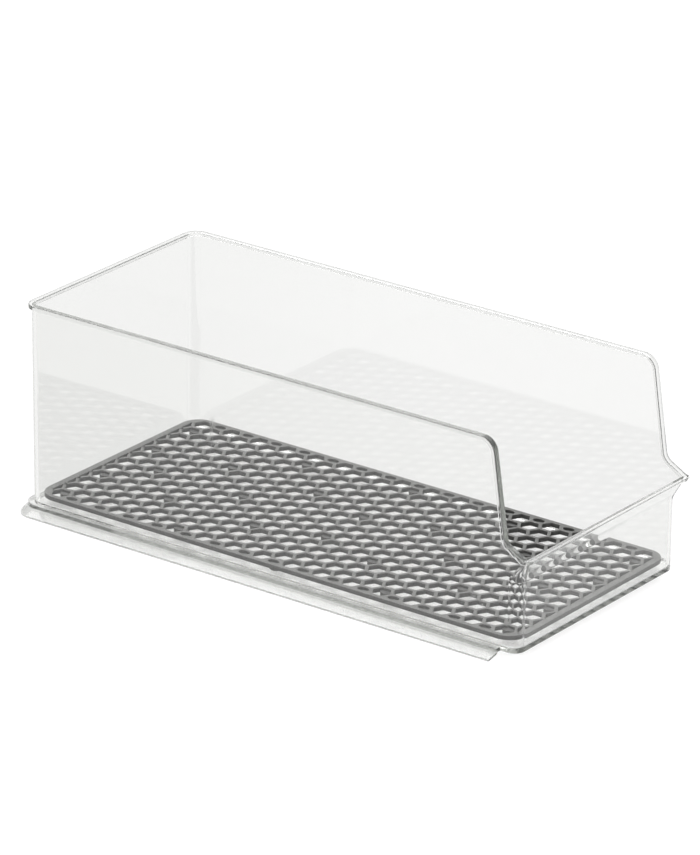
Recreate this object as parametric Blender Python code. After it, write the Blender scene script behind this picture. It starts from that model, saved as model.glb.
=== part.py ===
"""Open-front refrigerator bin with a lift-out honeycomb drainage mat.

Frame: metres, +Z up, X across the bin, the low open front faces -Y.
The origin is on the surface the bin stands on, under the middle of the bin.
"""
import math

import bmesh
import bpy
from mathutils import Vector

# Bin moulding: overall sizes
BODY_LENGTH = 0.3090        # outside length of the tub at its base, along Y
BODY_WIDTH = 0.1380         # outside width of the tub at its base, along X
RIM_HEIGHT = 0.1135         # top of the rim at the sides and back
FRONT_HEIGHT = 0.0540       # top of the rim along the low front
BASE_LIFT = 0.0020          # underside of the base above the standing surface
WALL = 0.0020
FLOOR = 0.0024
DRAFT = math.radians(0.2)   # each wall leans outward by this much
CORNER_RADIUS = 0.0065      # outside radius of the four upright corners
FRONT_RIM_RADIUS = 0.0025   # the same where the front corners reach the rim
BASE_EDGE = 0.0006          # chamfer around the underside of the base
FLOOR_FILLET = 0.0008       # inside radius where the walls meet the floor

# Rim lip: a small bead that runs along the whole top edge
LIP_OUT = 0.0018            # how far the lip stands out from the wall
LIP_HEIGHT = 0.0022
LIP_EDGE = 0.0004           # chamfer on the lip's edges

# Low front: the wall leans forward near its top to make a pull
FLARE_OUT = 0.0055
FLARE_HEIGHT = 0.0120
FLARE_BLEND = 0.0025        # half height of the bend where the lean starts

# Side profile, as distances back from the outside of the front wall
SHOULDER_BACK = 0.0157      # where the level top would meet the steep edge
STEP_BACK = 0.0077          # where the steep edge would meet the sloping step
STEP_RISE = 0.0065          # how far that meeting point is above the front rim
SHOULDER_RADIUS = 0.0085
STEP_RADIUS = 0.0065

# Stacking flange along both sides and across the back
LEDGE_OUT = 0.0034          # width of the flat ledge beside the wall
LEDGE_THICKNESS = 0.0020
SKIRT_OUT_SIDE = 0.0068     # how far the skirt goes on past the ledge at the sides
SKIRT_OUT_REAR = 0.0012     # the same, across the back
SKIRT_THICKNESS = 0.0009
SKIRT_FOOT = 0.0010         # width of the flat edge that the bin stands on
SKIRT_STEP = 0.0009         # how far the skirt's root reaches in under the ledge
FLANGE_FRONT_GAP = 0.0102   # from the front wall back to the flange's cut end
FLANGE_OVERLAP = 0.0012     # how far the flange is rooted inside the wall

# Honeycomb mat
CELL_PITCH = 0.0108         # distance between neighbouring cell centres
RIB = 0.0018                # width of the ribs between cells
MAT_THICKNESS = 0.0024
MAT_SIDE_CLEARANCE = 0.0005
MAT_END_CLEARANCE = 0.0013
MAT_CORNER_RADIUS = 0.0105
MAT_BORDER = 0.0038         # solid strip that closes the cells at both ends
MAT_SIDE_BORDER = 0.0023    # solid strip outside the last cells at the sides
FOOT_RADIUS = 0.0040
FOOT_HEIGHT = 0.0026
FOOT_ROOT = 0.0010          # how far each foot reaches up between the ribs
REST_GAP = 0.0003           # clearance between the mat's feet and the floor

CORNER_STEPS = 6
FILLET_STEPS = 6
FOOT_SIDES = 8

FLOOR_TOP = BASE_LIFT + FLOOR
ROW_PITCH = CELL_PITCH * math.sqrt(3.0) / 2.0
FRONT_Y = -BODY_LENGTH / 2.0

FOOT_ROWS = {
    0: (1.5, 5.5),
    4: (2.5,),
    7: (0.0, 5.0),
    10: (2.5,),
    13: (0.0,),
    15: (2.0, 5.0),
}


def make_material(name, color, roughness, transmission=0.0):
    material = bpy.data.materials.new(name)
    material.use_nodes = True
    shader = material.node_tree.nodes["Principled BSDF"]
    shader.inputs["Base Color"].default_value = (*color, 1.0)
    shader.inputs["Roughness"].default_value = roughness
    shader.inputs["Metallic"].default_value = 0.0
    shader.inputs["Transmission Weight"].default_value = transmission
    return material


def make_object(name, bm, material=None, smooth_angle=None):
    """Turn a bmesh into a linked object with outward faces."""
    bmesh.ops.recalc_face_normals(bm, faces=bm.faces)
    mesh = bpy.data.meshes.new(name)
    bm.to_mesh(mesh)
    bm.free()
    if smooth_angle is not None:
        mesh.shade_smooth()
        mesh.set_sharp_from_angle(angle=math.radians(smooth_angle))
    obj = bpy.data.objects.new(name, mesh)
    bpy.context.scene.collection.objects.link(obj)
    if material is not None:
        mesh.materials.append(material)
    return obj


def loft(bm, rings, closed=True, cap_ends=True):
    """Join rings of points with the same count into one skin."""
    loops = []
    for ring in rings:
        verts = [bm.verts.new(point) for point in ring]
        pairs = zip(verts, verts[1:] + verts[:1])
        loops.append([bm.edges.new(pair) for pair in pairs])
    if cap_ends:
        bmesh.ops.contextual_create(bm, geom=loops[0])
        bmesh.ops.contextual_create(bm, geom=loops[-1])
    for lower, upper in zip(loops, loops[1:]):
        bmesh.ops.bridge_loops(bm, edges=lower + upper)


def arc_points(center, radius, start, end, steps):
    """Points of an arc in a plane, from the start angle to the end angle."""
    points = []
    for step in range(steps + 1):
        angle = start + (end - start) * step / steps
        points.append((center[0] + radius * math.cos(angle), center[1] + radius * math.sin(angle)))
    return points


def fillet(before, corner, after, radius, steps):
    """Points of the round that replaces the corner between two straight runs."""
    corner = Vector(corner)
    back = (Vector(before) - corner).normalized()
    ahead = (Vector(after) - corner).normalized()
    half = back.angle(ahead) / 2.0
    center = corner + (back + ahead).normalized() * radius / math.sin(half)
    reach = radius / math.tan(half)
    start = corner + back * reach - center
    end = corner + ahead * reach - center
    turn = math.atan2(start.x * end.y - start.y * end.x, start.dot(end))
    first = math.atan2(start.y, start.x)
    return arc_points(center, radius, first, first + turn, steps)


def flare_at(height):
    """How far the front wall has leaned forward at a height."""
    above = height - (FRONT_HEIGHT - FLARE_HEIGHT)
    slope = FLARE_OUT / FLARE_HEIGHT
    if above <= -FLARE_BLEND:
        return 0.0
    if above >= FLARE_BLEND:
        return above * slope
    return slope * (above + FLARE_BLEND) ** 2 / (4.0 * FLARE_BLEND)


def side_profile():
    """The lip's lower edge along one side, rear to front, as (y, z, tilt of its normal).

    The rim's top runs level, drops down the steep edge and reaches the front corner.
    """
    rear = (BODY_LENGTH / 2.0 - CORNER_RADIUS, RIM_HEIGHT)
    shoulder = (FRONT_Y + SHOULDER_BACK, RIM_HEIGHT)
    step = (FRONT_Y + STEP_BACK, FRONT_HEIGHT + STEP_RISE)
    front = (FRONT_Y + FRONT_RIM_RADIUS - FLARE_OUT, FRONT_HEIGHT)
    top = [rear]
    top += fillet(rear, shoulder, step, SHOULDER_RADIUS, FILLET_STEPS)
    top += fillet(shoulder, step, front, STEP_RADIUS, FILLET_STEPS)
    top.append(front)
    profile = []
    for index, (y, z) in enumerate(top):
        before = Vector(top[max(index - 1, 0)])
        after = Vector(top[min(index + 1, len(top) - 1)])
        along = (after - before).normalized()
        if index == 0 or index == len(top) - 1:
            along = Vector((-1.0, 0.0))
        normal = Vector((along.y, -along.x))
        profile.append((y, z, normal))
    return profile


def lean_share(height):
    """0 where the front is upright, growing to 1 at the underside of the lip."""
    return flare_at(height) / flare_at(FRONT_HEIGHT - LIP_HEIGHT)


def corner_spot(outward, height, end):
    """A point on a corner's outside; end is 1 at the rear and -1 at the front."""
    share = lean_share(height) if end < 0 else 0.0
    radius = CORNER_RADIUS + share * (FRONT_RIM_RADIUS - CORNER_RADIUS)
    lean = flare_at(height) if end < 0 else 0.0
    x = BODY_WIDTH / 2.0 - radius + outward.x * radius
    y = end * (BODY_LENGTH / 2.0 - radius + lean) + outward.y * radius
    return x, y


def side_columns():
    """Columns of one straight side, rear to front, without its two corners.

    Each has its y at the base, how far it has moved forward at the lip, and its rim point.
    """
    lip_base = FRONT_HEIGHT - LIP_HEIGHT
    ahead = Vector((1.0, 0.0))
    base_end = corner_spot(ahead, BASE_LIFT, -1)[1]
    lip_end = corner_spot(ahead, lip_base, -1)[1]
    profile = side_profile()[1:-1]
    blend_start = profile[0][0]
    columns = []
    for y, z, normal in profile:
        lip_y = y - normal.x * LIP_HEIGHT
        share = max(0.0, (blend_start - lip_y) / (blend_start - lip_end))
        pull = (base_end - lip_end) * share
        columns.append((lip_y + pull, pull, y, z, normal))
    return columns


def quarter_directions():
    """Outward directions of a corner, from across the bin to along it."""
    return [Vector((math.cos(turn), math.sin(turn)))
            for turn in (math.pi / 2.0 * step / CORNER_STEPS for step in range(CORNER_STEPS + 1))]


def mirror_loop(half):
    """A whole ring around the tub from the points of its +X half, rear to front."""
    return half + [(-x, y, z) for x, y, z in reversed(half)]


def wall_ring(height, offset):
    """Points around the tub at one height, offset outward from the wall's outside."""
    out = offset + (height - BASE_LIFT) * math.tan(DRAFT)
    half = []
    for outward in reversed(quarter_directions()):
        x, y = corner_spot(outward, height, 1)
        half.append((x + outward.x * out, y + outward.y * out, height))
    for base_y, pull, *_ in side_columns():
        half.append((BODY_WIDTH / 2.0 + out, base_y - pull * lean_share(height), height))
    for turned in quarter_directions():
        outward = Vector((turned.x, -turned.y))
        x, y = corner_spot(outward, height, -1)
        half.append((x + outward.x * out, y + outward.y * out, height))
    return mirror_loop(half)


def lip_ring(offset, depth):
    """Points around the rim, offset outward and set down from its top edge."""
    half = []
    rear_z = RIM_HEIGHT - depth
    front_z = FRONT_HEIGHT - depth
    rear_out = offset + (rear_z - BASE_LIFT) * math.tan(DRAFT)
    front_out = offset + (front_z - BASE_LIFT) * math.tan(DRAFT)
    for outward in reversed(quarter_directions()):
        x, y = corner_spot(outward, rear_z, 1)
        half.append((x + outward.x * rear_out, y + outward.y * rear_out, rear_z))
    for _, _, y, z, normal in side_columns():
        point_z = z - depth * normal.y
        out = offset + (point_z - BASE_LIFT) * math.tan(DRAFT)
        half.append((BODY_WIDTH / 2.0 + out, y - depth * normal.x, point_z))
    for turned in quarter_directions():
        outward = Vector((turned.x, -turned.y))
        x, y = corner_spot(outward, front_z, -1)
        half.append((x + outward.x * front_out, y + outward.y * front_out, front_z))
    return mirror_loop(half)


def make_tub(material):
    """The tub: base, four walls, rim lip and the leaning front, without the flange."""
    bend = FRONT_HEIGHT - FLARE_HEIGHT
    bend_heights = (bend - FLARE_BLEND, bend, bend + FLARE_BLEND)
    rings = [
        wall_ring(BASE_LIFT, -BASE_EDGE),
        wall_ring(BASE_LIFT + BASE_EDGE, 0.0),
    ]
    rings += [wall_ring(height, 0.0) for height in bend_heights]
    rings += [
        lip_ring(0.0, LIP_HEIGHT),
        lip_ring(LIP_OUT - LIP_EDGE, LIP_HEIGHT),
        lip_ring(LIP_OUT, LIP_HEIGHT - LIP_EDGE),
        lip_ring(LIP_OUT, LIP_EDGE),
        lip_ring(LIP_OUT - LIP_EDGE, 0.0),
        lip_ring(LIP_EDGE - WALL, 0.0),
        lip_ring(-WALL, LIP_EDGE),
        lip_ring(-WALL, LIP_HEIGHT),
    ]
    rings += [wall_ring(height, -WALL) for height in reversed(bend_heights)]
    fillet_center = (-WALL - FLOOR_FILLET, FLOOR_TOP + FLOOR_FILLET)
    for offset, height in arc_points(fillet_center, FLOOR_FILLET, 0.0, -math.pi / 2.0, 3):
        rings.append(wall_ring(height, offset))
    bm = bmesh.new()
    loft(bm, rings)
    return make_object("bin_shell", bm, material, smooth_angle=35.0)


def flange_stations():
    """Base points and outward directions along one side, the back and the other side."""
    half_x = BODY_WIDTH / 2.0
    center_x = half_x - CORNER_RADIUS
    center_y = BODY_LENGTH / 2.0 - CORNER_RADIUS
    right = [(Vector((half_x, FRONT_Y + FLANGE_FRONT_GAP)), Vector((1.0, 0.0)))]
    for step in range(CORNER_STEPS + 1):
        angle = math.pi / 2.0 * step / CORNER_STEPS
        outward = Vector((math.cos(angle), math.sin(angle)))
        right.append((Vector((center_x, center_y)) + outward * CORNER_RADIUS, outward))
    left = [(Vector((-base.x, base.y)), Vector((-out.x, out.y))) for base, out in reversed(right)]
    return right + left


def make_flange():
    """Ledge and skirt around three sides, rooted in the wall; joined to the tub."""
    ledge_bottom = FLOOR_TOP - LEDGE_THICKNESS
    skirt_root = LEDGE_OUT - SKIRT_STEP
    section = (
        (-FLANGE_OVERLAP, 0.0, FLOOR_TOP),
        (LEDGE_OUT, 0.0, FLOOR_TOP),
        (LEDGE_OUT, 0.0, ledge_bottom),
        (LEDGE_OUT, 1.0, SKIRT_THICKNESS),
        (LEDGE_OUT, 1.0, 0.0),
        (LEDGE_OUT - SKIRT_FOOT, 1.0, 0.0),
        (skirt_root, 0.0, ledge_bottom - SKIRT_THICKNESS),
        (skirt_root, 0.0, ledge_bottom),
        (-FLANGE_OVERLAP, 0.0, ledge_bottom),
    )
    rings = []
    for base, outward in flange_stations():
        ring = []
        for offset, skirt, z in section:
            out_x = outward.x * (offset + skirt * SKIRT_OUT_SIDE)
            out_y = outward.y * (offset + skirt * SKIRT_OUT_REAR)
            ring.append((base.x + out_x, base.y + out_y, z))
        rings.append(ring)
    bm = bmesh.new()
    loft(bm, rings)
    return make_object("flange_guide", bm)


def make_bin(material):
    tub = make_tub(material)
    flange = make_flange()
    join(tub, flange)
    return tub


def join(obj, addition):
    """Unite a helper solid with an object; the helper stays as a hidden guide."""
    addition.display_type = "WIRE"
    addition.hide_render = True
    union = obj.modifiers.new("join_" + addition.name, "BOOLEAN")
    union.operation = "UNION"
    union.object = addition


def mat_size():
    """Length and width of the mat, from the tub's inside at the floor."""
    length = BODY_LENGTH - 2.0 * (WALL + MAT_END_CLEARANCE)
    width = BODY_WIDTH - 2.0 * (WALL + MAT_SIDE_CLEARANCE)
    return length, width


def cell_outline(x, y, limit):
    """A cell's opening, its points along the mat, cut off at the end border."""
    radius = (CELL_PITCH - RIB) / math.sqrt(3.0)
    corners = [Vector((x + radius * math.sin(turn), y + radius * math.cos(turn)))
               for turn in (math.pi / 3.0 * index for index in range(6))]
    kept = []
    for start, end in zip(corners, corners[1:] + corners[:1]):
        if abs(start.y) <= limit:
            kept.append(start)
        if (abs(start.y) - limit) * (abs(end.y) - limit) < 0.0:
            edge = math.copysign(limit, y)
            kept.append(start.lerp(end, (edge - start.y) / (end.y - start.y)))
    return kept


def row_cells(row):
    """Cell centres across one row, out to the solid strip at each side."""
    width = mat_size()[1]
    reach = width / 2.0 - MAT_SIDE_BORDER - (CELL_PITCH - RIB) / 2.0
    shift = 0.5 if row % 2 else 0.0
    count = int(width / CELL_PITCH) + 1
    spots = [(index + shift) * CELL_PITCH for index in range(-count, count + 1)]
    return [x for x in spots if abs(x) <= reach]


def last_full_row():
    radius = (CELL_PITCH - RIB) / math.sqrt(3.0)
    limit = mat_size()[0] / 2.0 - MAT_BORDER
    return int((limit - radius) / ROW_PITCH)


def foot_places():
    """Foot centres: each stands under the rib between two cells of a row."""
    standard_row = max(FOOT_ROWS)
    standard_rib = max(max(ribs) for ribs in FOOT_ROWS.values())
    last_rib = max(row_cells(0)) / CELL_PITCH + 0.5
    places = set()
    for row, ribs in FOOT_ROWS.items():
        real_row = round(row * last_full_row() / standard_row)
        half = 0.0 if real_row % 2 else 0.5
        for rib in ribs:
            real_rib = round(rib * last_rib / standard_rib - half) + half
            for row_sign in (-1, 1):
                for rib_sign in (-1, 1):
                    places.add((rib_sign * real_rib * CELL_PITCH, row_sign * real_row * ROW_PITCH))
    return sorted(places)


def mat_outline():
    length, width = mat_size()
    center_x = width / 2.0 - MAT_CORNER_RADIUS
    center_y = length / 2.0 - MAT_CORNER_RADIUS
    outline = []
    corners = ((1, 1, 0.0), (-1, 1, 0.5), (-1, -1, 1.0), (1, -1, 1.5))
    for sign_x, sign_y, quarter in corners:
        center = (sign_x * center_x, sign_y * center_y)
        first = quarter * math.pi
        outline += arc_points(center, MAT_CORNER_RADIUS, first, first + math.pi / 2.0, CORNER_STEPS)
    return outline


def make_feet(bottom):
    """All the feet of the mat, rooted between the ribs; joined to the mat."""
    bm = bmesh.new()
    height = FOOT_HEIGHT + FOOT_ROOT
    for x, y in foot_places():
        made = bmesh.ops.create_cone(bm, cap_ends=True, segments=FOOT_SIDES, radius1=FOOT_RADIUS,
                                     radius2=FOOT_RADIUS, depth=height)
        bmesh.ops.translate(bm, verts=made["verts"], vec=(x, y, bottom + height / 2.0))
    return make_object("feet_guide", bm)


def make_mat(material):
    """Honeycomb panel on short feet; lies loose on the floor and lifts straight out."""
    foot_bottom = FLOOR_TOP + REST_GAP
    panel_bottom = foot_bottom + FOOT_HEIGHT
    end_limit = mat_size()[0] / 2.0 - MAT_BORDER
    outlines = [mat_outline()]
    for row in range(-last_full_row() - 1, last_full_row() + 2):
        for x in row_cells(row):
            opening = cell_outline(x, row * ROW_PITCH, end_limit)
            if len(opening) > 2:
                outlines.append(opening)
    bm = bmesh.new()
    for outline in outlines:
        verts = [bm.verts.new((x, y, 0.0)) for x, y in outline]
        for pair in zip(verts, verts[1:] + verts[:1]):
            bm.edges.new(pair)
    bmesh.ops.triangle_fill(bm, edges=bm.edges, use_beauty=True, normal=(0.0, 0.0, 1.0))
    bmesh.ops.solidify(bm, geom=bm.faces, thickness=MAT_THICKNESS)
    mat = make_object("honeycomb_mat", bm, material)
    lowest = min(vert.co.z for vert in mat.data.vertices)
    for vert in mat.data.vertices:
        vert.co.z -= lowest
    mat.location.z = panel_bottom
    feet = make_feet(foot_bottom)
    join(mat, feet)
    return mat


def middle_shift():
    """How far back everything moves, so that the origin is under the middle of the whole bin."""
    lip_height = FRONT_HEIGHT - LIP_EDGE
    front_reach = flare_at(lip_height) + LIP_OUT + (lip_height - BASE_LIFT) * math.tan(DRAFT)
    rear_reach = LEDGE_OUT + SKIRT_OUT_REAR
    return (front_reach - rear_reach) / 2.0


def main():
    for obj in list(bpy.data.objects):
        bpy.data.objects.remove(obj)
    clear_plastic = make_material("clear_plastic", (0.93, 0.94, 0.92), 0.06, transmission=1.0)
    grey_plastic = make_material("grey_plastic", (0.27, 0.27, 0.265), 0.5)
    make_bin(clear_plastic)
    make_mat(grey_plastic)
    for obj in bpy.data.objects:
        obj.location.y = middle_shift()


main()
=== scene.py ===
import math

import bmesh
import bpy
from mathutils import Matrix, Vector


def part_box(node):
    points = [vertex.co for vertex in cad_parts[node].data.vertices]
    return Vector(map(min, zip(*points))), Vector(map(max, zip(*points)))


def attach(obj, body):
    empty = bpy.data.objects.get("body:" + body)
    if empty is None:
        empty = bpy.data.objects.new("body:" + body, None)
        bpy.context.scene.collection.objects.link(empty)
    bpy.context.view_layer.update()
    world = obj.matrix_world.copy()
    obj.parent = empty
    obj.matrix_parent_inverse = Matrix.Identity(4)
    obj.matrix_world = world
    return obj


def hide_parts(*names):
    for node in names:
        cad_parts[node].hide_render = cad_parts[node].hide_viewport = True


# Clear open-front fridge bin with a loose honeycomb mat. Metres, +Z up, the low front faces -Y.

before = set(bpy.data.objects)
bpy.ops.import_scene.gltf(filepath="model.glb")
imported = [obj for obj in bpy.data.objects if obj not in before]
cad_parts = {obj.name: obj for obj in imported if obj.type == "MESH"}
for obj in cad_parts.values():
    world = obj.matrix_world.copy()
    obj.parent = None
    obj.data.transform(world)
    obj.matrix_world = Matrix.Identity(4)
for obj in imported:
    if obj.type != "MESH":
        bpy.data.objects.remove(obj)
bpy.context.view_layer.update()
shellLow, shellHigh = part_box("bin_shell")
matLow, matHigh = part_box("honeycomb_mat")
print("frame loaded")


# an arc's points in a plane, from one angle to another
def arc(centre, radius, start, end, steps):
    turns = [math.radians(start + (end - start) * step / steps) for step in range(steps + 1)]
    return [(centre[0] + radius * math.cos(turn), centre[1] + radius * math.sin(turn)) for turn in turns]


# the round that takes the place of a corner between two straight runs
def roundCorner(before, corner, after, radius, steps):
    corner = Vector(corner)
    back = (Vector(before) - corner).normalized()
    ahead = (Vector(after) - corner).normalized()
    half = back.angle(ahead) / 2
    centre = corner + (back + ahead).normalized() * radius / math.sin(half)
    start = corner + back * radius / math.tan(half) - centre
    end = corner + ahead * radius / math.tan(half) - centre
    turn = math.atan2(start.x * end.y - start.y * end.x, start.dot(end))
    first = math.degrees(math.atan2(start.y, start.x))
    return arc(centre, radius, first, first + math.degrees(turn), steps)


# a closed outline with every corner rounded
def roundOutline(corners, radii, steps):
    outline = []
    for index, corner in enumerate(corners):
        after = corners[(index + 1) % len(corners)]
        outline += roundCorner(corners[index - 1], corner, after, radii[index], steps)
    return outline


# one skin over rings that all have the same number of points
def loftRings(bm, rings):
    loops = []
    for ring in rings:
        verts = [bm.verts.new(point) for point in ring]
        loops.append([bm.edges.new(pair) for pair in zip(verts, verts[1:] + verts[:1])])
    bmesh.ops.contextual_create(bm, geom=loops[0])
    bmesh.ops.contextual_create(bm, geom=loops[-1])
    for lower, upper in zip(loops, loops[1:]):
        bmesh.ops.bridge_loops(bm, edges=lower + upper)


def newObject(name, bm, material):
    bmesh.ops.recalc_face_normals(bm, faces=bm.faces)
    mesh = bpy.data.meshes.new(name)
    bm.to_mesh(mesh)
    bm.free()
    mesh.materials.append(material)
    piece = bpy.data.objects.new(name, mesh)
    bpy.context.scene.collection.objects.link(piece)
    return piece


# the two closed solids become one, and the second one goes
def uniteWith(piece, addition):
    union = piece.modifiers.new("unite", "BOOLEAN")
    union.operation = "UNION"
    union.solver = "EXACT"
    union.object = addition
    depsgraph = bpy.context.evaluated_depsgraph_get()
    whole = bpy.data.meshes.new_from_object(piece.evaluated_get(depsgraph))
    piece.modifiers.clear()
    piece.data = whole
    bpy.data.objects.remove(addition)


# smooth rounds, crisp corners, and flat faces that stay optically flat
def smoothRounds(piece, sharpAngle):
    piece.data.shade_smooth()
    piece.data.set_sharp_from_angle(angle=math.radians(sharpAngle))
    weighted = piece.modifiers.new("flatFaces", "WEIGHTED_NORMAL")
    weighted.mode = "FACE_AREA"
    weighted.keep_sharp = True


def socketIn(group, name, kind, value):
    socket = group.interface.new_socket(name=name, in_out="INPUT", socket_type=kind)
    socket.default_value = value


def startGroup(name, inputs, outputs):
    group = bpy.data.node_groups.new(name, "ShaderNodeTree")
    for label, kind, value in inputs:
        socketIn(group, label, kind, value)
    for label, kind in outputs:
        group.interface.new_socket(name=label, in_out="OUTPUT", socket_type=kind)
    entry = group.nodes.new("NodeGroupInput")
    leave = group.nodes.new("NodeGroupOutput")
    return group, entry, leave


def addNode(tree, kind, **settings):
    node = tree.nodes.new(kind)
    for label, value in settings.items():
        setattr(node, label, value)
    return node


def addMath(tree, operation, first, second, clamp=False):
    node = addNode(tree, "ShaderNodeMath", operation=operation, use_clamp=clamp)
    for socket, value in zip(node.inputs, (first, second)):
        if isinstance(value, (int, float)):
            socket.default_value = value
        else:
            tree.links.new(value, socket)
    return node.outputs[0]


def addRange(tree, value, fromMin, fromMax, toMin, toMax):
    node = addNode(tree, "ShaderNodeMapRange")
    tree.links.new(value, node.inputs["Value"])
    for label, number in (("From Min", fromMin), ("From Max", fromMax), ("To Min", toMin), ("To Max", toMax)):
        node.inputs[label].default_value = number
    return node.outputs["Result"]


def addNoise(tree, coords, scale, detail, roughness=0.5):
    node = addNode(tree, "ShaderNodeTexNoise")
    tree.links.new(coords, node.inputs["Vector"])
    if isinstance(scale, (int, float)):
        node.inputs["Scale"].default_value = scale
    else:
        tree.links.new(scale, node.inputs["Scale"])
    node.inputs["Detail"].default_value = detail
    node.inputs["Roughness"].default_value = roughness
    return node.outputs["Fac"]


def splitAxes(tree, vector):
    node = addNode(tree, "ShaderNodeSeparateXYZ")
    tree.links.new(vector, node.inputs[0])
    return node.outputs


# the fine grain that a mould leaves: a height for bump, and how much rougher it makes the finish
def makeMouldGrain():
    group, entry, leave = startGroup(
        "mouldGrain",
        (("Coords", "NodeSocketVector", (0, 0, 0)), ("Grain Scale", "NodeSocketFloat", 900.0),
         ("Base Roughness", "NodeSocketFloat", 0.4), ("Roughness Spread", "NodeSocketFloat", 0.1)),
        (("Height", "NodeSocketFloat"), ("Roughness", "NodeSocketFloat"), ("Cloud", "NodeSocketFloat")),
    )
    coords = entry.outputs["Coords"]
    fine = addNoise(group, coords, entry.outputs["Grain Scale"], 4.0, 0.6)
    cloud = addNoise(group, coords, 38.0, 3.0)
    swing = addMath(group, "SUBTRACT", addMath(group, "ADD", fine, cloud), 1.0)
    spread = addMath(group, "MULTIPLY", swing, entry.outputs["Roughness Spread"])
    group.links.new(fine, leave.inputs["Height"])
    roughness = addMath(group, "ADD", entry.outputs["Base Roughness"], spread, True)
    group.links.new(roughness, leave.inputs["Roughness"])
    group.links.new(cloud, leave.inputs["Cloud"])
    return group


# where an edge is rubbed: 1 on worn outward edges, 0 elsewhere, broken up by noise
def makeEdgeWear():
    group, entry, leave = startGroup(
        "edgeWear",
        (("Coords", "NodeSocketVector", (0, 0, 0)), ("Amount", "NodeSocketFloat", 0.6),
         ("Patch Scale", "NodeSocketFloat", 160.0)),
        (("Mask", "NodeSocketFloat"),),
    )
    geometry = addNode(group, "ShaderNodeNewGeometry")
    edge = addRange(group, geometry.outputs["Pointiness"], 0.505, 0.56, 0.0, 1.0)
    clouds = addNoise(group, entry.outputs["Coords"], entry.outputs["Patch Scale"], 5.0)
    patch = addRange(group, clouds, 0.4, 0.65, 0.0, 1.0)
    mask = addMath(group, "MULTIPLY", addMath(group, "MULTIPLY", edge, patch), entry.outputs["Amount"], True)
    group.links.new(mask, leave.inputs["Mask"])
    return group


# thin handling scratches in two directions: a height and a mask
def makeFineScratches():
    group, entry, leave = startGroup(
        "fineScratches",
        (("Coords", "NodeSocketVector", (0, 0, 0)), ("Density", "NodeSocketFloat", 60.0)),
        (("Height", "NodeSocketFloat"), ("Mask", "NodeSocketFloat")),
    )
    total = None
    for turn, stretch in ((0.35, (0.05, 1.0, 1.0)), (-1.1, (1.0, 0.06, 1.0)), (0.9, (1.0, 1.0, 0.05))):
        mapping = addNode(group, "ShaderNodeMapping")
        mapping.inputs["Rotation"].default_value = (turn, turn * 0.6, turn)
        mapping.inputs["Scale"].default_value = stretch
        group.links.new(entry.outputs["Coords"], mapping.inputs["Vector"])
        streak = addNoise(group, mapping.outputs["Vector"], entry.outputs["Density"], 8.0, 0.7)
        line = addRange(group, streak, 0.68, 0.72, 0.0, 1.0)
        total = line if total is None else addMath(group, "MAXIMUM", total, line)
    group.links.new(total, leave.inputs["Height"])
    group.links.new(total, leave.inputs["Mask"])
    return group


# dust that has settled: thicker on faces that look up
def makeSettledDust():
    group, entry, leave = startGroup(
        "settledDust",
        (("Coords", "NodeSocketVector", (0, 0, 0)), ("Amount", "NodeSocketFloat", 0.1)),
        (("Mask", "NodeSocketFloat"),),
    )
    facing = splitAxes(group, addNode(group, "ShaderNodeNewGeometry").outputs["Normal"])
    upward = addRange(group, facing["Z"], 0.3, 1.0, 0.0, 1.0)
    grit = addNoise(group, entry.outputs["Coords"], 420.0, 6.0, 0.7)
    specks = addRange(group, grit, 0.48, 0.75, 0.0, 1.0)
    settled = addMath(group, "MULTIPLY", upward, specks)
    mask = addMath(group, "MULTIPLY", settled, entry.outputs["Amount"], True)
    group.links.new(mask, leave.inputs["Mask"])
    return group


mouldGrain = makeMouldGrain()
edgeWear = makeEdgeWear()
fineScratches = makeFineScratches()
settledDust = makeSettledDust()


def placeGroup(tree, group, coords, **values):
    node = addNode(tree, "ShaderNodeGroup", node_tree=group)
    tree.links.new(coords, node.inputs["Coords"])
    for label, value in values.items():
        node.inputs[label.replace("_", " ")].default_value = value
    return node


def startMaterial(name):
    material = bpy.data.materials.new(name)
    material.use_nodes = True
    tree = material.node_tree
    shader = tree.nodes["Principled BSDF"]
    coords = addNode(tree, "ShaderNodeTexCoord").outputs["Object"]
    return material, tree, shader, coords


def addBump(tree, shader, height, strength, distance):
    bump = addNode(tree, "ShaderNodeBump")
    bump.inputs["Strength"].default_value = strength
    bump.inputs["Distance"].default_value = distance
    tree.links.new(height, bump.inputs["Height"])
    tree.links.new(bump.outputs["Normal"], shader.inputs["Normal"])


def mixColours(tree, mask, first, second):
    mix = addNode(tree, "ShaderNodeMix", data_type="RGBA")
    tree.links.new(mask, mix.inputs["Factor"])
    for socket, colour in ((mix.inputs[6], first), (mix.inputs[7], second)):
        if isinstance(colour, tuple):
            socket.default_value = (*colour, 1)
        else:
            tree.links.new(colour, socket)
    return mix.outputs[2]


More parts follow.
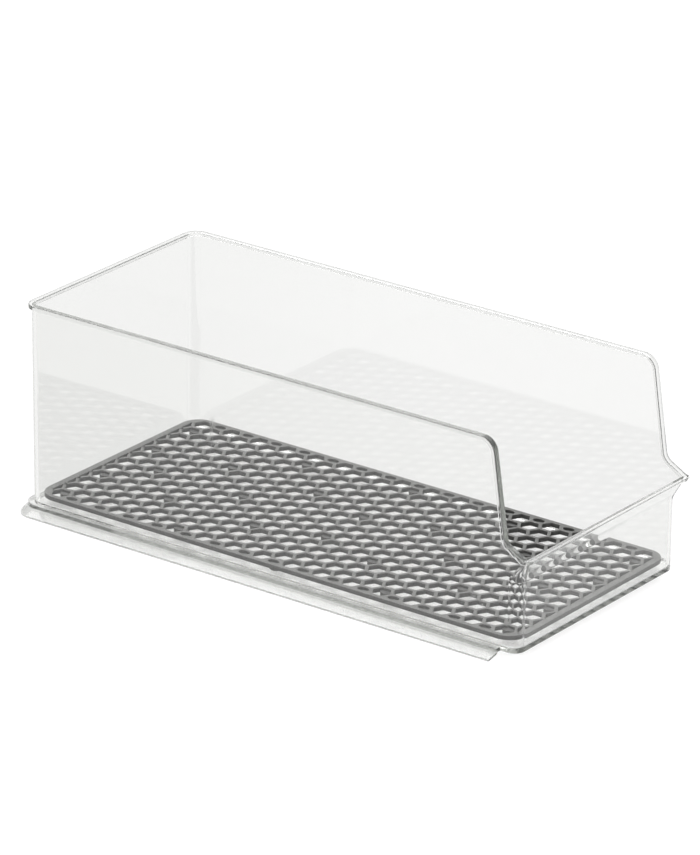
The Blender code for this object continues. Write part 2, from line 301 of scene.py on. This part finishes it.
clearPlastic = {
    "tint": (0.992, 0.993, 0.988),
    "hazeTint": (0.984, 0.986, 0.979),
    "rearShadeTint": (0.940, 0.942, 0.934),
    # painted shade on the lip and the flange: greyer tints than the walls
    "flangeShadeTint": (0.60, 0.605, 0.595),
    "lipShadeTint": (0.80, 0.803, 0.795),
    "lampTint": (0.975, 0.975, 0.975),
    "ior": 1.53,
    "roughness": 0.012,
    "rimRoughness": 0.10,
    "flangeRoughness": 0.12,
    "scratchRoughness": 0.05,
    "scratchDensity": 70.0,
    "scratchBump": 0.12,
    "scratchDepth": 0.00004,
    "grainScale": 260.0,
    "grainSpread": 0.02,
    "hazeRange": (0.35, 0.75),     # the cloud values between clear and hazy
    "rearShadeRange": (0.0, 0.2),       # painted shade: the walls are tinted darker toward the rear
    "flangeStart": 0.0702,         # how far out the flange and the side lip begin
    "rearLipStart": 0.1572,
    "edgeBlend": 0.0004,
    "flangeTop": (0.016, 0.020),   # the walls and the lip are above, the flange below
    "rimStart": (0.02, 0.03),      # no rim is lower than this
    "depthColour": (0.66, 0.673, 0.65),
    "depthDensity": 9.0,
}


def makeClearPlastic():
    material, tree, shader, coords = startMaterial("clearPlastic")
    grain = placeGroup(tree, mouldGrain, coords, Grain_Scale=clearPlastic["grainScale"],
                       Base_Roughness=clearPlastic["roughness"], Roughness_Spread=clearPlastic["grainSpread"])
    scratch = placeGroup(tree, fineScratches, coords, Density=clearPlastic["scratchDensity"])
    place = splitAxes(tree, coords)
    haze = addRange(tree, grain.outputs["Cloud"], *clearPlastic["hazeRange"], 0.0, 1.0)
    clouded = mixColours(tree, haze, clearPlastic["tint"], clearPlastic["hazeTint"])
    # painted shade: the walls' tint turns darker toward the rear, for the deeper tone light gives them there
    rearShade = addRange(tree, place["Y"], *clearPlastic["rearShadeRange"], 0.0, 1.0)
    body = mixColours(tree, rearShade, clouded, clearPlastic["rearShadeTint"])
    # painted shade: the lip around the rim and the flange low on both sides are tinted greyer than the walls,
    # for the darker tone light gives them
    start, rearStart = clearPlastic["flangeStart"], clearPlastic["rearLipStart"]
    blend = clearPlastic["edgeBlend"]
    sideOut = addMath(tree, "ABSOLUTE", place["X"], 0.0)
    sideways = addRange(tree, sideOut, start, start + blend, 0.0, 1.0)
    behind = addRange(tree, place["Y"], rearStart, rearStart + blend, 0.0, 1.0)
    outward = addMath(tree, "MAXIMUM", sideways, behind)
    low = addRange(tree, place["Z"], *clearPlastic["flangeTop"], 1.0, 0.0)
    onFlange = addMath(tree, "MULTIPLY", outward, low)
    edgeShadeTint = mixColours(tree, low, clearPlastic["lipShadeTint"], clearPlastic["flangeShadeTint"])
    tree.links.new(mixColours(tree, outward, body, edgeShadeTint), shader.inputs["Base Color"])
    rubbed = addMath(tree, "MULTIPLY", scratch.outputs["Mask"], clearPlastic["scratchRoughness"])
    rough = addMath(tree, "ADD", grain.outputs["Roughness"], rubbed, True)
    # the rim's top is a softer finish than the polished walls
    facing = splitAxes(tree, addNode(tree, "ShaderNodeNewGeometry").outputs["Normal"])
    upward = addRange(tree, facing["Z"], 0.3, 0.7, 0.0, 1.0)
    high = addRange(tree, place["Z"], *clearPlastic["rimStart"], 0.0, clearPlastic["rimRoughness"])
    rough = addMath(tree, "ADD", rough, addMath(tree, "MULTIPLY", upward, high), True)
    flangeRough = addMath(tree, "MULTIPLY", onFlange, clearPlastic["flangeRoughness"])
    tree.links.new(addMath(tree, "ADD", rough, flangeRough, True), shader.inputs["Roughness"])
    addBump(tree, shader, scratch.outputs["Height"],
            clearPlastic["scratchBump"], clearPlastic["scratchDepth"])
    shader.inputs["Transmission Weight"].default_value = 1.0
    shader.inputs["IOR"].default_value = clearPlastic["ior"]
    # lamps reach what stands behind the clear walls
    output = tree.nodes["Material Output"]
    path = addNode(tree, "ShaderNodeLightPath")
    through = addNode(tree, "ShaderNodeBsdfTransparent")
    through.inputs["Color"].default_value = (*clearPlastic["lampTint"], 1)
    mix = addNode(tree, "ShaderNodeMixShader")
    tree.links.new(path.outputs["Is Shadow Ray"], mix.inputs["Fac"])
    tree.links.new(shader.outputs["BSDF"], mix.inputs[1])
    tree.links.new(through.outputs["BSDF"], mix.inputs[2])
    tree.links.new(mix.outputs["Shader"], output.inputs["Surface"])
    depth = addNode(tree, "ShaderNodeVolumeAbsorption")
    depth.inputs["Color"].default_value = (*clearPlastic["depthColour"], 1)
    depth.inputs["Density"].default_value = clearPlastic["depthDensity"]
    tree.links.new(depth.outputs["Volume"], output.inputs["Volume"])
    return material


greyPlastic = {
    "colour": (0.136, 0.136, 0.131),
    "cloudColour": (0.152, 0.152, 0.147),
    "wornColour": (0.22, 0.22, 0.213),
    "dustColour": (0.38, 0.375, 0.36),
    "cellShadeColour": (0.112, 0.112, 0.108),
    "cellShadeRange": (0.0014, 0.0002),  # how far under the mat's top the painted shade in the cells is full, and where it fades out
    "roughness": 0.46,
    "grainScale": 1500.0,
    "grainSpread": 0.16,
    "grainBump": 0.5,
    "grainDepth": 0.00006,
    "wear": 0.7,
    "wearScale": 90.0,
    "dust": 0.12,
    "ior": 1.48,
}


def makeGreyPlastic():
    material, tree, shader, coords = startMaterial("greyPlastic")
    grain = placeGroup(tree, mouldGrain, coords, Grain_Scale=greyPlastic["grainScale"],
                       Base_Roughness=greyPlastic["roughness"], Roughness_Spread=greyPlastic["grainSpread"])
    worn = placeGroup(tree, edgeWear, coords, Amount=greyPlastic["wear"],
                      Patch_Scale=greyPlastic["wearScale"])
    dust = placeGroup(tree, settledDust, coords, Amount=greyPlastic["dust"])
    body = mixColours(tree, grain.outputs["Cloud"], greyPlastic["colour"], greyPlastic["cloudColour"])
    edged = mixColours(tree, worn.outputs["Mask"], body, greyPlastic["wornColour"])
    dusted = mixColours(tree, dust.outputs["Mask"], edged, greyPlastic["dustColour"])
    # painted shade: the cells' walls and the feet down in them are coloured darker, for the shade that falls
    # in the recesses
    dark, pale = greyPlastic["cellShadeRange"]
    cellShade = addRange(tree, splitAxes(tree, coords)["Z"], matHigh.z - dark, matHigh.z - pale, 1.0, 0.0)
    tree.links.new(mixColours(tree, cellShade, dusted, greyPlastic["cellShadeColour"]), shader.inputs["Base Color"])
    rough = addMath(tree, "ADD", grain.outputs["Roughness"], dust.outputs["Mask"], True)
    tree.links.new(rough, shader.inputs["Roughness"])
    addBump(tree, shader, grain.outputs["Height"],
            greyPlastic["grainBump"], greyPlastic["grainDepth"])
    shader.inputs["IOR"].default_value = greyPlastic["ior"]
    return material


clearMaterial = makeClearPlastic()
greyMaterial = makeGreyPlastic()
print("finishes made")


tub = {
    "length": 0.3090,         # outside at the base
    "wall": 0.0020,
    "floor": 0.0024,
    "baseLift": 0.0020,
    "draft": math.radians(0.2),
    "cornerRadius": 0.0065,
    "frontRimRadius": 0.0025,
    "baseEdge": 0.0008,       # round under the base
    "floorFillet": 0.0008,
    "lipOut": 0.0018,
    "lipHeight": 0.0022,
    "lipEdge": 0.0005,        # round of the lip's edges
    "frontHeight": 0.0540,
    "flareOut": 0.0055,
    "flareHeight": 0.0120,
    "flareBlend": 0.0025,
    "shoulderBack": 0.0157,
    "stepBack": 0.0077,
    "stepRise": 0.0065,
    "shoulderRadius": 0.0085,
    "stepRadius": 0.0065,
    "cornerSteps": 12,
    "bendSteps": 12,
    "edgeSteps": 4,
    "filletSteps": 6,
    "sharpAngle": 38,         # degrees between faces that stay crisp
}
flange = {
    "ledgeOut": 0.0034,
    "ledgeThickness": 0.0020,
    "skirtOutSide": 0.0068,
    "skirtOutRear": 0.0012,
    "skirtThickness": 0.0009,
    "skirtFoot": 0.0010,
    "skirtStep": 0.0009,
    "frontGap": 0.0102,       # from the front wall back to the cut end
    "overlap": 0.0012,        # how far it is rooted in the wall
    "edge": 0.00022,          # round of its edges
}
tub["width"] = shellHigh.x - shellLow.x - 2 * (flange["ledgeOut"] + flange["skirtOutSide"])
tub["rimHeight"] = shellHigh.z
rearWall = shellHigh.y - flange["ledgeOut"] - flange["skirtOutRear"]
frontWall = rearWall - tub["length"]
floorTop = tub["baseLift"] + tub["floor"]
lipBottom = tub["frontHeight"] - tub["lipHeight"]
ahead = Vector((1, 0))


# how far the front wall has leaned forward at a height
def frontLean(height):
    above = height - (tub["frontHeight"] - tub["flareHeight"])
    slope = tub["flareOut"] / tub["flareHeight"]
    blend = tub["flareBlend"]
    if abs(above) < blend:
        return slope * (above + blend) ** 2 / (4 * blend)
    return max(0, above * slope)


def leanShare(height):
    return frontLean(height) / frontLean(lipBottom)


def draftOut(height):
    return (height - tub["baseLift"]) * math.tan(tub["draft"])


# a point on an upright corner's outside, at the rear or the front end
def cornerSpot(outward, height, atFront):
    radius, lean = tub["cornerRadius"], 0
    if atFront:
        radius += leanShare(height) * (tub["frontRimRadius"] - tub["cornerRadius"])
        lean = frontLean(height)
    centreY = frontWall + radius - lean if atFront else rearWall - radius
    return tub["width"] / 2 - radius + outward.x * radius, centreY + outward.y * radius


# the rim's top along one side, rear to front: y, z and its upward normal
def sideProfile():
    rear = (rearWall - tub["cornerRadius"], tub["rimHeight"])
    shoulder = (frontWall + tub["shoulderBack"], tub["rimHeight"])
    step = (frontWall + tub["stepBack"], tub["frontHeight"] + tub["stepRise"])
    front = (frontWall + tub["frontRimRadius"] - tub["flareOut"], tub["frontHeight"])
    top = [rear]
    top += roundCorner(rear, shoulder, step, tub["shoulderRadius"], tub["bendSteps"])
    top += roundCorner(shoulder, step, front, tub["stepRadius"], tub["bendSteps"])
    top.append(front)
    profile = []
    for index in range(1, len(top) - 1):
        along = (Vector(top[index + 1]) - Vector(top[index - 1])).normalized()
        profile.append((*top[index], Vector((along.y, -along.x))))
    return profile


# the side's columns: y at the base, how far the lean pulls them forward, and their rim point
def sideColumns():
    baseEnd = cornerSpot(ahead, tub["baseLift"], True)[1]
    lipEnd = cornerSpot(ahead, lipBottom, True)[1]
    profile = sideProfile()
    blendStart = profile[0][0]
    columns = []
    for y, z, normal in profile:
        lipY = y - normal.x * tub["lipHeight"]
        pull = (baseEnd - lipEnd) * max(0, (blendStart - lipY) / (blendStart - lipEnd))
        columns.append((lipY + pull, pull, y, z, normal))
    return columns


quarter = [Vector(spot) for spot in arc((0, 0), 1, 0, 90, tub["cornerSteps"])]
columns = sideColumns()


def mirrorRing(half):
    return half + [(-x, y, z) for x, y, z in reversed(half)]


# a level ring around the walls, offset outward from their outside
def wallRing(height, offset):
    out = offset + draftOut(height)
    half = []
    for outward in reversed(quarter):
        x, y = cornerSpot(outward, height, False)
        half.append((x + outward.x * out, y + outward.y * out, height))
    for baseY, pull, *_ in columns:
        half.append((tub["width"] / 2 + out, baseY - pull * leanShare(height), height))
    for turned in quarter:
        outward = Vector((turned.x, -turned.y))
        x, y = cornerSpot(outward, height, True)
        half.append((x + outward.x * out, y + outward.y * out, height))
    return mirrorRing(half)


# a ring along the rim, offset outward and set down from its top
def rimRing(offset, depth):
    half = []
    rearZ = tub["rimHeight"] - depth
    frontZ = tub["frontHeight"] - depth
    for outward in reversed(quarter):
        x, y = cornerSpot(outward, rearZ, False)
        out = offset + draftOut(rearZ)
        half.append((x + outward.x * out, y + outward.y * out, rearZ))
    for _, _, y, z, normal in columns:
        pointZ = z - depth * normal.y
        half.append((tub["width"] / 2 + offset + draftOut(pointZ), y - depth * normal.x, pointZ))
    for turned in quarter:
        outward = Vector((turned.x, -turned.y))
        x, y = cornerSpot(outward, frontZ, True)
        out = offset + draftOut(frontZ)
        half.append((x + outward.x * out, y + outward.y * out, frontZ))
    return mirrorRing(half)


def makeTub(name):
    wall, edge, steps = tub["wall"], tub["lipEdge"], tub["edgeSteps"]
    lipOut, lipHeight = tub["lipOut"], tub["lipHeight"]
    bend = tub["frontHeight"] - tub["flareHeight"]
    bendHeights = [bend + tub["flareBlend"] * share for share in (-1, -0.66, -0.33, 0, 0.33, 0.66, 1)]
    baseCentre = (-tub["baseEdge"], tub["baseLift"] + tub["baseEdge"])
    rings = [wallRing(z, offset) for offset, z in arc(baseCentre, tub["baseEdge"], -90, 0, steps)]
    rings += [wallRing(height, 0) for height in bendHeights]
    rings.append(rimRing(0, lipHeight))
    lipProfile = arc((lipOut - edge, lipHeight - edge), edge, 90, 0, steps)
    lipProfile += arc((lipOut - edge, edge), edge, 0, -90, steps)
    lipProfile += arc((edge - wall, edge), edge, -90, -180, steps)
    rings += [rimRing(offset, depth) for offset, depth in lipProfile]
    rings.append(rimRing(-wall, lipHeight))
    rings += [wallRing(height, -wall) for height in reversed(bendHeights)]
    fillet = tub["floorFillet"]
    filletCentre = (-wall - fillet, floorTop + fillet)
    rings += [wallRing(z, offset) for offset, z in arc(filletCentre, fillet, 0, -90, tub["filletSteps"])]
    bm = bmesh.new()
    loftRings(bm, rings)
    return newObject(name, bm, clearMaterial)


# the flange's section, how far out and how high, where its skirt reaches out by skirtOut
def flangeSection(skirtOut):
    ledge, foot = flange["ledgeOut"], flange["skirtFoot"]
    bottom = floorTop - flange["ledgeThickness"]
    root = ledge - flange["skirtStep"]
    corners = [
        (-flange["overlap"], floorTop), (ledge, floorTop), (ledge, bottom),
        (ledge + skirtOut, flange["skirtThickness"]), (ledge + skirtOut, 0), (ledge + skirtOut - foot, 0),
        (root, bottom - flange["skirtThickness"]), (root, bottom), (-flange["overlap"], bottom),
    ]
    edge = flange["edge"]
    tight = edge * 0.3        # the inside corner under the ledge
    return roundOutline(corners, [edge] * 7 + [tight, edge], 3)


# the section swept around the sides and the rear, where the skirt draws in
def makeFlange(name):
    side = Vector((tub["width"] / 2, 0))
    centre = Vector((tub["width"] / 2 - tub["cornerRadius"], rearWall - tub["cornerRadius"]))
    stations = [(Vector((side.x, frontWall + flange["frontGap"])), ahead)]
    stations += [(centre + outward * tub["cornerRadius"], outward) for outward in quarter]
    stations += [(Vector((-base.x, base.y)), Vector((-out.x, out.y))) for base, out in reversed(stations)]
    reachSide = flangeSection(flange["skirtOutSide"])
    reachRear = flangeSection(flange["skirtOutRear"])
    rings = []
    for base, outward in stations:
        share = outward.y * outward.y
        ring = []
        for (sideOut, sideZ), (rearOut, rearZ) in zip(reachSide, reachRear):
            ring.append((base.x + outward.x * sideOut, base.y + outward.y * rearOut,
                         sideZ * (1 - share) + rearZ * share))
        rings.append(ring)
    bm = bmesh.new()
    loftRings(bm, rings)
    return newObject(name, bm, clearMaterial)


clearBin = makeTub("clearBin")
uniteWith(clearBin, makeFlange("flangePart"))
smoothRounds(clearBin, tub["sharpAngle"])
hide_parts("bin_shell")
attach(clearBin, "bin")
print("clear bin made", len(clearBin.data.polygons))


mat = {
    "pitch": 0.0108,
    "rib": 0.0018,
    "thickness": 0.0024,
    "endBorder": 0.0038,
    "sideBorder": 0.0023,
    "cornerRadius": 0.0105,
    "cellRound": 0.0005,
    "edge": 0.00022,          # round of every rim
    "dimpleDepth": 0.0016,
    "dimpleReach": (0.0020, 0.0034),   # half sizes of the oval dimples, across and along
    "dimpleInset": 0.0019,
    "dimpleSides": 16,
    "footRadius": 0.0040,
    "footRoot": 0.0010,
    "footEdge": 0.0005,
    "footSides": 32,
    "sharpAngle": 50,
    # cell rows out from the middle, and how many pitches to the side the feet of each stand
    "footRows": {0: (1.5, 5.5), 4: (2.5,), 7: (0, 5), 10: (2.5,), 13: (0,), 15: (2, 5)},
}
matCentre = (matLow + matHigh) / 2
matHalfX = (matHigh.x - matLow.x) / 2
matHalfY = (matHigh.y - matLow.y) / 2
rowPitch = mat["pitch"] * math.sqrt(3) / 2
cellRadius = (mat["pitch"] - mat["rib"]) / math.sqrt(3)
lastRow = int((matHalfY - mat["endBorder"] - cellRadius) / rowPitch)


# a cell's six corners, cut off straight at the solid strip across the mat's ends
def cellCorners(x, y, limit):
    corners = [Vector((x + cellRadius * math.sin(turn), y + cellRadius * math.cos(turn)))
               for turn in (math.pi / 3 * index for index in range(6))]
    kept = []
    for start, end in zip(corners, corners[1:] + corners[:1]):
        if abs(start.y) <= limit:
            kept.append(start)
        if (abs(start.y) - limit) * (abs(end.y) - limit) < 0:
            cut = math.copysign(limit, y)
            kept.append(start.lerp(end, (cut - start.y) / (end.y - start.y)))
    return kept


def dimpleOutline(x, y):
    across, along = mat["dimpleReach"]
    centre = math.copysign(matHalfX - mat["sideBorder"] - mat["dimpleInset"], x)
    turns = [math.pi * 2 * step / mat["dimpleSides"] for step in range(mat["dimpleSides"])]
    return [(centre + across * math.cos(turn), y + along * math.sin(turn)) for turn in turns]


# cells that go through, and the shallow closed ones beside them along both long edges
def cellOutlines():
    through, dimples = [], []
    endLimit = matHalfY - mat["endBorder"]
    fullX = matHalfX - mat["sideBorder"] - (mat["pitch"] - mat["rib"]) / 2
    count = int(matHalfX / mat["pitch"]) + 1
    for row in range(-lastRow - 1, lastRow + 2):
        y = row * rowPitch
        shift = 0.5 if row % 2 else 0
        radius = mat["cellRound"] * (0.5 if abs(row) > lastRow else 1)
        for index in range(-count, count + 1):
            x = (index + shift) * mat["pitch"]
            if abs(x) <= fullX:
                corners = cellCorners(x, y, endLimit)
                if len(corners) > 2:
                    through.append(roundOutline(corners, [radius] * len(corners), 2))
            elif abs(x) < matHalfX and abs(row) <= lastRow - 1:
                dimples.append(dimpleOutline(x, y))
    return through, dimples


def drawLoops(bm, outlines, z):
    loops = []
    for outline in outlines:
        verts = [bm.verts.new((x, y, z)) for x, y in outline]
        loops.append([bm.edges.new(pair) for pair in zip(verts, verts[1:] + verts[:1])])
    return loops


def matOutline():
    radius = mat["cornerRadius"]
    corners = [(matHalfX, matHalfY), (-matHalfX, matHalfY), (-matHalfX, -matHalfY), (matHalfX, -matHalfY)]
    return roundOutline(corners, [radius] * 4, 12)


# a flat plate with its cells cut through and its dimples sunk, every rim rounded
def makePanel(name, bottom, top):
    through, dimples = cellOutlines()
    bm = bmesh.new()
    bmesh.ops.triangle_fill(bm, use_beauty=True, normal=(0, 0, -1),
                            edges=sum(drawLoops(bm, [matOutline(), *through], bottom), []))
    topLoops = drawLoops(bm, [matOutline(), *through, *dimples], top)
    bmesh.ops.triangle_fill(bm, use_beauty=True, normal=(0, 0, 1), edges=sum(topLoops, []))
    openLoops = topLoops[:len(through) + 1]
    walls = bmesh.ops.extrude_edge_only(bm, edges=sum(openLoops, []))["geom"]
    wallVerts = [part for part in walls if isinstance(part, bmesh.types.BMVert)]
    bmesh.ops.translate(bm, verts=wallVerts, vec=(0, 0, bottom - top))
    pits = bmesh.ops.extrude_edge_only(bm, edges=sum(topLoops[len(through) + 1:], []))["geom"]
    pitVerts = [part for part in pits if isinstance(part, bmesh.types.BMVert)]
    bmesh.ops.translate(bm, verts=pitVerts, vec=(0, 0, -mat["dimpleDepth"]))
    pitEdges = [part for part in pits if isinstance(part, bmesh.types.BMEdge)]
    bmesh.ops.holes_fill(bm, edges=pitEdges, sides=0)
    bmesh.ops.remove_doubles(bm, verts=bm.verts, dist=0.000001)
    bmesh.ops.recalc_face_normals(bm, faces=bm.faces)
    sharp = [edge for edge in bm.edges
             if len(edge.link_faces) == 2 and edge.calc_face_angle() > math.radians(60)]
    bmesh.ops.bevel(bm, geom=sharp, offset=mat["edge"], segments=2, profile=0.5, affect="EDGES", material=-1,
                    clamp_overlap=False)
    return newObject(name, bm, greyMaterial)


def footSpots():
    spots = set()
    for row, ribs in mat["footRows"].items():
        for rib in ribs:
            for signY in (-1, 1):
                for signX in (-1, 1):
                    spots.add((signX * rib * mat["pitch"], signY * row * rowPitch))
    return sorted(spots)


def makeFeet(name, low, high):
    bm = bmesh.new()
    for x, y in footSpots():
        foot = bmesh.ops.create_cone(bm, cap_ends=True, segments=mat["footSides"], radius1=mat["footRadius"],
                                     radius2=mat["footRadius"], depth=high - low)["verts"]
        bmesh.ops.translate(bm, verts=foot, vec=(x, y, (low + high) / 2))
    under = [edge for edge in bm.edges if all(abs(vert.co.z - low) < 0.00001 for vert in edge.verts)]
    bmesh.ops.bevel(bm, geom=under, offset=mat["footEdge"], segments=3, profile=0.5, affect="EDGES",
                    material=-1)
    return newObject(name, bm, greyMaterial)


panelBottom = matHigh.z - mat["thickness"]
honeycomb = makePanel("honeycombMat", panelBottom, matHigh.z)
feet = makeFeet("matFeet", matLow.z, panelBottom + mat["footRoot"])
uniteWith(honeycomb, feet)
honeycomb.data.transform(Matrix.Translation((matCentre.x, matCentre.y, 0)))
smoothRounds(honeycomb, mat["sharpAngle"])
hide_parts("honeycomb_mat")
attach(honeycomb, "mat")
print("honeycomb mat made", len(honeycomb.data.polygons))


studio = {
    "floorSize": 16.0,
    "floorGlow": 0.63,        # the floor as it shows through the plastic
    "backdropGlow": 0.74,     # the floor as the camera sees it directly
    "floorColour": (0.3, 0.3, 0.298),
    "sunStrength": 1.9,
    "sunSpread": math.radians(50),
    "sunTurn": (math.radians(-20), math.radians(16), 0),
    "skyColour": (0.55, 0.55, 0.547),
    "seenSky": (0.92, 0.92, 0.915),
    "bounces": 96,
}


def makeFloor():
    material, tree, shader, _ = startMaterial("paleFloor")
    shader.inputs["Base Color"].default_value = (*studio["floorColour"], 1)
    shader.inputs["Roughness"].default_value = 1.0
    shader.inputs["Specular IOR Level"].default_value = 0.0
    shader.inputs["Emission Color"].default_value = (1, 1, 1, 1)
    # the glow whitens the floor that is seen, and doesn't light the undersides
    path = addNode(tree, "ShaderNodeLightPath")
    seen = addMath(tree, "SUBTRACT", 1.0, path.outputs["Diffuse Depth"], True)
    direct = path.outputs["Is Camera Ray"]
    glow = addRange(tree, direct, 0.0, 1.0, studio["floorGlow"], studio["backdropGlow"])
    tree.links.new(addMath(tree, "MULTIPLY", seen, glow), shader.inputs["Emission Strength"])
    bm = bmesh.new()
    bmesh.ops.create_grid(bm, x_segments=2, y_segments=2, size=studio["floorSize"] / 2)
    floor = newObject("studioFloor", bm, material)


def makeLight():
    sun = bpy.data.lights.new("softSun", "SUN")
    sun.energy = studio["sunStrength"]
    sun.angle = studio["sunSpread"]
    lamp = bpy.data.objects.new("softSun", sun)
    lamp.rotation_euler = studio["sunTurn"]
    bpy.context.scene.collection.objects.link(lamp)
    world = bpy.data.worlds.new("studioSky")
    world.use_nodes = True
    # the room is seen and reflected pale, and lights softly
    tree = world.node_tree
    lit = addMath(tree, "MINIMUM", addNode(tree, "ShaderNodeLightPath").outputs["Diffuse Depth"], 1.0)
    sky = mixColours(tree, lit, studio["seenSky"], studio["skyColour"])
    tree.links.new(sky, tree.nodes["Background"].inputs["Color"])
    bpy.context.scene.world = world
    # light runs a long way inside the walls before it leaves at a rim
    cycles = bpy.context.scene.cycles
    cycles.max_bounces = studio["bounces"]
    cycles.transmission_bounces = studio["bounces"]
    cycles.glossy_bounces = studio["bounces"]


shot = {
    "target": (0.06353, 0.04836, 0.03),
    "distance": 3.1775,
    "azimuth": math.radians(-53.4676),
    "elevation": math.radians(22.0890),
    "roll": math.radians(0.6309),
    "lens": 256.4,
    "sensor": 36,
}


def makeCamera():
    lens = bpy.data.cameras.new("shot")
    lens.lens = shot["lens"]
    lens.sensor_width = shot["sensor"]
    camera = bpy.data.objects.new("shot", lens)
    azimuth, elevation = shot["azimuth"], shot["elevation"]
    back = Vector((math.sin(azimuth) * math.cos(elevation), -math.cos(azimuth) * math.cos(elevation),
                   math.sin(elevation)))
    turn = back.to_track_quat("Z", "Y").to_matrix().to_4x4()
    camera.matrix_world = (Matrix.Translation(Vector(shot["target"]) + back * shot["distance"]) @ turn
                           @ Matrix.Rotation(shot["roll"], 4, "Z"))
    bpy.context.scene.collection.objects.link(camera)
    bpy.context.scene.camera = camera


makeFloor()
makeLight()
makeCamera()
bpy.context.scene.view_settings.view_transform = "Standard"
print("studio made")
